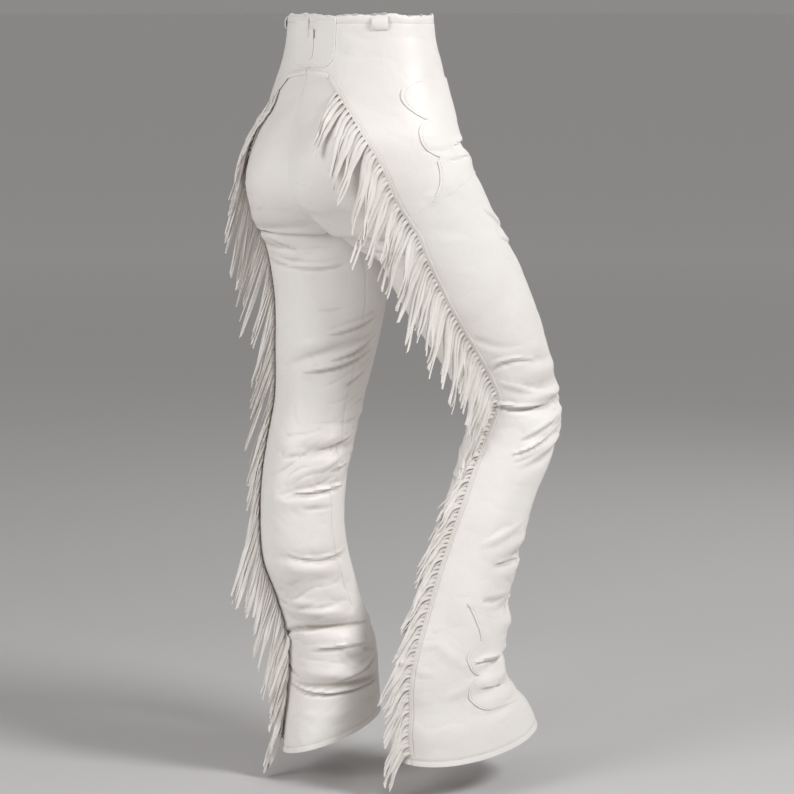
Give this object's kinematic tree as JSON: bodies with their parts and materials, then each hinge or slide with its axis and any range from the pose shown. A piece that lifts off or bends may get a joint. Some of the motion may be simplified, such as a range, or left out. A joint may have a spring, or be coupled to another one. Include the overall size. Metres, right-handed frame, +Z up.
{
  "type": "fringed leather chaps",
  "caption": "Close-fitting leather chaps with a fitted seat, flared hems, long fringe down each outer seam and scalloped overlays at hip and ankle, open and hollow as worn.",
  "frame": {"origin": "centre of the waist opening, level with the waist edge", "axes": "+Z up out of the waist opening, -Y the wearer's front, +X the wearer's left"},
  "size_m": [0.3697, 0.4363, 1.1303],
  "materials": {
    "leather": "smooth off-white grain leather, softly creased, satin",
    "overlay_leather": "the same leather, a little smoother, cut and stitched on top",
    "fringe_suede": "leather strands with a suede back, matte",
    "snap_metal": "satin nickel"
  },
  "bodies": {
    "root": {"ankle_overlay_left": "overlay_leather", "ankle_overlay_right": "overlay_leather", "back_leg_left": "leather", "back_leg_right": "leather", "back_yoke": "overlay_leather", "belt_loop_left": "overlay_leather", "belt_loop_right": "overlay_leather", "fly": "overlay_leather", "fringe_left": "fringe_suede", "fringe_right": "fringe_suede", "hip_overlay_left": "overlay_leather", "hip_overlay_right": "overlay_leather", "seat_left": "leather", "seat_right": "leather", "side_panel_left": "leather", "side_panel_right": "leather", "waist_snap": "snap_metal"}
  },
  "joints": []
}
